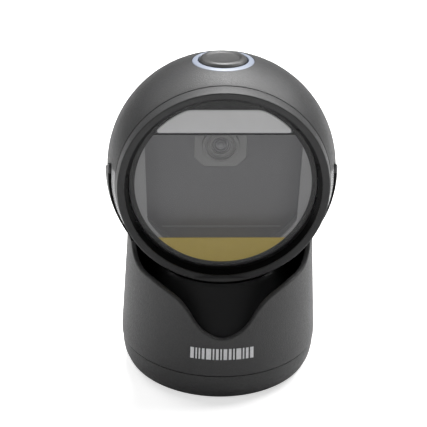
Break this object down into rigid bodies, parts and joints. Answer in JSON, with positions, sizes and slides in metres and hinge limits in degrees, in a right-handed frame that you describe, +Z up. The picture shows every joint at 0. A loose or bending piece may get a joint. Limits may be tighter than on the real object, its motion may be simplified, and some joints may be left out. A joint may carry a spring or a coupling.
{
  "type": "hands-free barcode scanner",
  "caption": "Hands-free presentation barcode scanner: a ball-shaped reading head with a round window and a top button, tilting in a round weighted base.",
  "frame": {"origin": "centre of the base's underside, on the table plane", "axes": "+Z up, the window faces -Y, +X to the viewer's right when looking at the window"},
  "size_m": [0.1032, 0.1355, 0.1498],
  "materials": {
    "matte_shell": "fine matte texture, charcoal",
    "bezel_grey": "matte dark grey",
    "gloss_black": "polished black",
    "satin_black": "satin black",
    "clear_window": "clear polished window",
    "mask_ink": "dark printed border",
    "diffuser": "frosted white diffuser",
    "gold_strip": "plain muted gold film",
    "chamber_grey": "matte grey optical chamber",
    "camera_grey": "satin grey camera housing",
    "lens_glass": "coated lens",
    "sensor_smoke": "dark smoke window",
    "button_smoke": "smoked grey button cap",
    "light_ring": "milky light guide",
    "board_green": "circuit board",
    "chip_black": "moulded chip package",
    "led_white": "clear LED package",
    "steel": "zinc plated steel",
    "frame_grey": "glass filled grey plastic",
    "nylon": "natural nylon",
    "rubber": "soft black rubber"
  },
  "bodies": {
    "base": {"base_shell": "matte_shell", "base_bottom_cover": "matte_shell", "ballast_weight": "steel", "rubber_foot_pad": "rubber", "base_screw_1": "steel", "base_screw_2": "steel", "base_screw_3": "steel", "base_screw_4": "steel", "inner_cradle": "gloss_black", "hinge_post": "frame_grey", "tilt_axle": "steel", "friction_washer_left": "nylon", "friction_washer_right": "nylon", "axle_nut": "steel", "strain_relief": "rubber", "interface_cable": "rubber"},
    "head": {"head_hood": "matte_shell", "lower_ball_shell": "matte_shell", "bezel_ring": "bezel_grey", "window_frame": "gloss_black", "window_panel": "clear_window", "window_mask": "mask_ink", "window_strip": "gold_strip", "light_diffuser": "diffuser", "optical_chamber": "chamber_grey", "sensor_window": "sensor_smoke", "camera_plate": "camera_grey", "lens_barrel": "satin_black", "lens_ring": "camera_grey", "lens_glass": "lens_glass", "image_sensor": "chip_black", "imager_board": "board_green", "light_board": "board_green", "led_1": "led_white", "led_2": "led_white", "led_3": "led_white", "led_4": "led_white", "led_5": "led_white", "led_6": "led_white", "head_frame": "frame_grey", "head_screw_1": "steel", "head_screw_2": "steel", "main_board": "board_green", "processor_chip": "chip_black", "beeper": "chip_black", "light_ring": "light_ring", "button_board": "board_green", "switch_body": "chip_black"},
    "button": {"trigger_button": "button_smoke"},
    "plunger": {"switch_plunger": "satin_black"}
  },
  "joints": [
    {"name": "head_tilt", "type": "hinge", "parent": "base", "child": "head", "pos_m": [0, 0, 0.0983], "axis": [-1, 0, 0], "range_deg": [0, 25]},
    {"name": "button_press", "type": "slide", "parent": "head", "child": "button", "axis": [0, -0.1045, -0.9945], "range_m": [0, 0.0008]},
    {"name": "plunger_press", "type": "slide", "parent": "head", "child": "plunger", "axis": [0, -0.1045, -0.9945], "range_m": [0, 0.0008]}
  ],
  "couplings": [
    {"joint": "plunger_press", "follows": "button_press", "ratio": 1}
  ]
}
